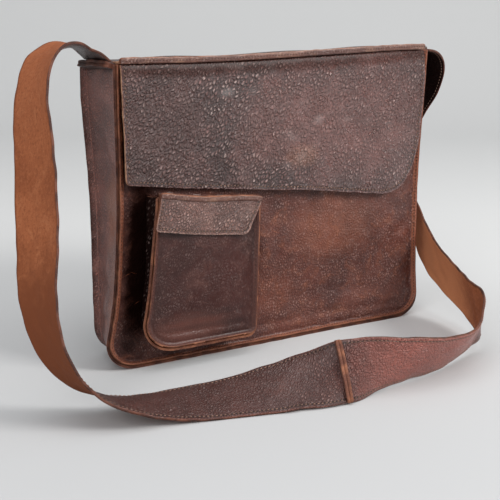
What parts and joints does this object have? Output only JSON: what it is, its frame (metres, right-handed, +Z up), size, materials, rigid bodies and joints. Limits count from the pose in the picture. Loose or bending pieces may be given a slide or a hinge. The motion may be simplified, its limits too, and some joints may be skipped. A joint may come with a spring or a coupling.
{
  "type": "satchel bag",
  "caption": "Leather satchel bag with a full drop-front flap, a small outside pocket with its own flap and a long shoulder strap laid out in front.",
  "frame": {"origin": "middle of the bag's flat bottom face, on the floor", "axes": "+Z up, +X along the bag's width, -Y towards the front, where the flap, the pocket and the strap are"},
  "size_m": [0.5703, 0.3154, 0.3277],
  "materials": {
    "panel_leather": "red-brown full-grain leather, worn satin",
    "flap_leather": "pebbled dark purple-brown leather, satin",
    "pocket_leather": "smooth dark brown leather, satin",
    "strap_leather": "reddish-brown leather with a raw tan flesh side",
    "thread": "waxed sewing thread, matte"
  },
  "bodies": {
    "bag": {"front_panel": "panel_leather", "back_panel": "panel_leather", "gusset": "panel_leather", "seam_stitch_front": "thread", "seam_stitch_back": "thread", "strap_anchor_left": "strap_leather", "strap_anchor_right": "strap_leather", "pocket_front": "pocket_leather", "pocket_gusset": "pocket_leather", "pocket_seam_stitch": "thread"},
    "flap_lid": {"flap_top": "flap_leather", "flap_ridge": "flap_leather", "flap_ridge_stitch": "thread"},
    "flap_drop": {"flap_front": "flap_leather", "flap_stitch": "thread"},
    "pocket_lid": {"pocket_flap_top": "flap_leather", "pocket_ridge": "flap_leather"},
    "pocket_drop": {"pocket_flap": "flap_leather", "pocket_flap_stitch": "thread"},
    "strap": {"strap_left": "strap_leather", "strap_right": "strap_leather", "strap_ridge": "strap_leather", "strap_stitch_left_front": "thread", "strap_stitch_left_back": "thread", "strap_stitch_right_front": "thread", "strap_stitch_right_back": "thread"}
  },
  "joints": [
    {"name": "flap_lid_hinge", "type": "hinge", "parent": "bag", "child": "flap_lid", "pos_m": [0, 0.0388, 0.3055], "axis": [-1, 0, 0], "range_deg": [0, 180]},
    {"name": "flap_drop_hinge", "type": "hinge", "parent": "flap_lid", "child": "flap_drop", "pos_m": [0, -0.0448, 0.3062], "axis": [-1, 0, 0], "range_deg": [0, 90]},
    {"name": "pocket_lid_hinge", "type": "hinge", "parent": "bag", "child": "pocket_lid", "pos_m": [-0.10519, -0.0385, 0.16946], "axis": [-0.9894, 0, 0.145], "range_deg": [0, 25]},
    {"name": "pocket_drop_hinge", "type": "hinge", "parent": "pocket_lid", "child": "pocket_drop", "pos_m": [-0.10561, -0.0692, 0.16659], "axis": [-0.9894, 0, 0.145], "range_deg": [0, 95]},
    {"name": "strap_swing", "type": "hinge", "parent": "bag", "child": "strap", "pos_m": [0, 0, 0.318], "axis": [-1, 0, 0], "range_deg": [0, 200]}
  ]
}
